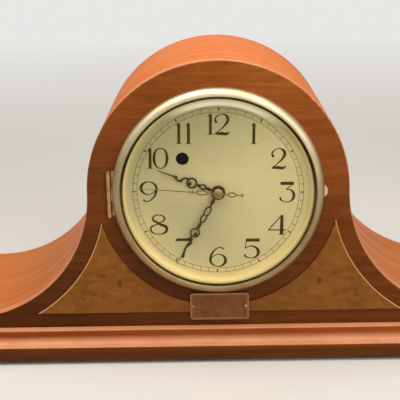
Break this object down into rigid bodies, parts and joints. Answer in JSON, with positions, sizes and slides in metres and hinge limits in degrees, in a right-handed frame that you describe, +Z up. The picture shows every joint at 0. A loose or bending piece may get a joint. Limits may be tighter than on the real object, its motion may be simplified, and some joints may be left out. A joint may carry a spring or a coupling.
{
  "type": "tambour mantel clock",
  "caption": "Low arched wooden mantel clock on a moulded base, with a hinged glazed bezel, pierced hands and an electric movement with a setting knob behind.",
  "frame": {"origin": "centre of the bounding box's bottom, on the surface that the pads stand on", "axes": "+X to the viewer's right along the clock, +Y from the dial towards the back, +Z up"},
  "size_m": [0.499, 0.1704, 0.235],
  "materials": {
    "mahogany": "gloss lacquer",
    "burl": "gloss lacquer",
    "inner_wood": "bare",
    "felt": "felt",
    "bezel_brass": "polished",
    "plaque_copper": "worn satin",
    "glass": "clear",
    "dial_silver": "matt silvered",
    "hand_bronze": "dark bronze",
    "second_bronze": "dark bronze",
    "flag_paint": "matt two-colour paint",
    "screw_steel": "turned",
    "movement_brass": "brushed",
    "core_iron": "laminated",
    "bobbin_fibre": "moulded",
    "winding_tape": "varnished tape",
    "can_metal": "satin",
    "cover_board": "pressed board",
    "bush_rubber": "moulded",
    "knob_plastic": "moulded"
  },
  "bodies": {
    "case": {"base_board": "mahogany", "foot_pads": "felt", "base_screws": "screw_steel", "front_panel": "mahogany", "case_skin": "mahogany", "end_blocks": "inner_wood", "case_ribs": "inner_wood", "back_panel": "inner_wood", "back_cover": "cover_board", "back_cover_screws": "screw_steel", "cord_bush": "bush_rubber", "inlay_left": "burl", "inlay_right": "burl", "plaque": "plaque_copper", "plaque_pins": "bezel_brass", "dial": "dial_silver", "dial_feet": "screw_steel", "dial_nuts": "screw_steel", "hinge_case_leaf": "bezel_brass", "hinge_pin": "bezel_brass", "hinge_screws": "screw_steel", "catch_spring": "bezel_brass", "catch_screw": "screw_steel", "front_plate": "movement_brass", "back_plate": "movement_brass", "plate_pillars": "screw_steel", "pillar_screws": "screw_steel", "movement_screws": "screw_steel", "centre_bush": "movement_brass", "minute_wheel_stud": "screw_steel", "field_core": "core_iron", "coil_bobbin": "bobbin_fibre", "coil_winding": "winding_tape", "rotor_can": "can_metal", "motor_spacers": "screw_steel", "motor_screws": "screw_steel"},
    "bezel_door": {"bezel_ring": "bezel_brass", "bezel_glass": "glass", "glass_retainer": "bezel_brass", "bezel_nub": "bezel_brass", "hinge_bezel_leaf": "bezel_brass"},
    "second_train": {"second_arbor": "screw_steel", "second_wheel": "movement_brass", "second_hand": "second_bronze"},
    "rotor": {"rotor_pinion": "screw_steel"},
    "third_train": {"third_arbor": "screw_steel", "third_wheel": "movement_brass"},
    "centre_drive": {"centre_wheel": "movement_brass"},
    "minute_train": {"minute_arbor": "screw_steel", "clutch_collar": "movement_brass", "clutch_spring": "screw_steel", "minute_hand": "hand_bronze"},
    "minute_gear": {"minute_wheel": "movement_brass"},
    "hour_train": {"hour_wheel": "movement_brass", "hour_hand": "hand_bronze"},
    "setting": {"set_shaft": "screw_steel", "set_knob": "knob_plastic"},
    "indicator": {"indicator_shaft": "screw_steel", "indicator_flag": "flag_paint", "reset_knob": "knob_plastic"}
  },
  "joints": [
    {"name": "bezel_door_hinge", "type": "hinge", "parent": "case", "child": "bezel_door", "pos_m": [-0.0828, -0.07205, 0.135], "axis": [0, 0, -1], "range_deg": [0, 110]},
    {"name": "second_hand_spin", "type": "hinge", "parent": "case", "child": "second_train", "pos_m": [0, -0.06975, 0.135], "axis": [0, 1, 0], "continuous": true},
    {"name": "rotor_spin", "type": "hinge", "parent": "case", "child": "rotor", "pos_m": [0, -0.06975, 0.11775], "axis": [0, 1, 0], "continuous": true},
    {"name": "third_spin", "type": "hinge", "parent": "case", "child": "third_train", "pos_m": [0.0085, -0.06975, 0.14972], "axis": [0, 1, 0], "continuous": true},
    {"name": "centre_wheel_spin", "type": "hinge", "parent": "case", "child": "centre_drive", "pos_m": [0, -0.06975, 0.135], "axis": [0, 1, 0], "continuous": true},
    {"name": "minute_hand_spin", "type": "hinge", "parent": "case", "child": "minute_train", "pos_m": [0, -0.06975, 0.135], "axis": [0, 1, 0], "continuous": true},
    {"name": "minute_wheel_spin", "type": "hinge", "parent": "case", "child": "minute_gear", "pos_m": [0.012, -0.06975, 0.135], "axis": [0, 1, 0], "continuous": true},
    {"name": "hour_hand_spin", "type": "hinge", "parent": "case", "child": "hour_train", "pos_m": [0, -0.06975, 0.135], "axis": [0, 1, 0], "continuous": true},
    {"name": "set_knob_spin", "type": "hinge", "parent": "case", "child": "setting", "pos_m": [0.024, -0.06975, 0.135], "axis": [0, 1, 0], "continuous": true},
    {"name": "indicator_flag_turn", "type": "hinge", "parent": "case", "child": "indicator", "pos_m": [-0.024, -0.06975, 0.135], "axis": [0, 1, 0], "range_deg": [0, 28]}
  ],
  "couplings": [
    {"joint": "rotor_spin", "follows": "second_hand_spin", "ratio": -3.6},
    {"joint": "third_spin", "follows": "second_hand_spin", "ratio": -0.13333},
    {"joint": "centre_wheel_spin", "follows": "second_hand_spin", "ratio": 0.016667},
    {"joint": "minute_wheel_spin", "follows": "minute_hand_spin", "ratio": -0.33333},
    {"joint": "hour_hand_spin", "follows": "minute_hand_spin", "ratio": 0.083333},
    {"joint": "set_knob_spin", "follows": "minute_hand_spin", "ratio": 1}
  ]
}
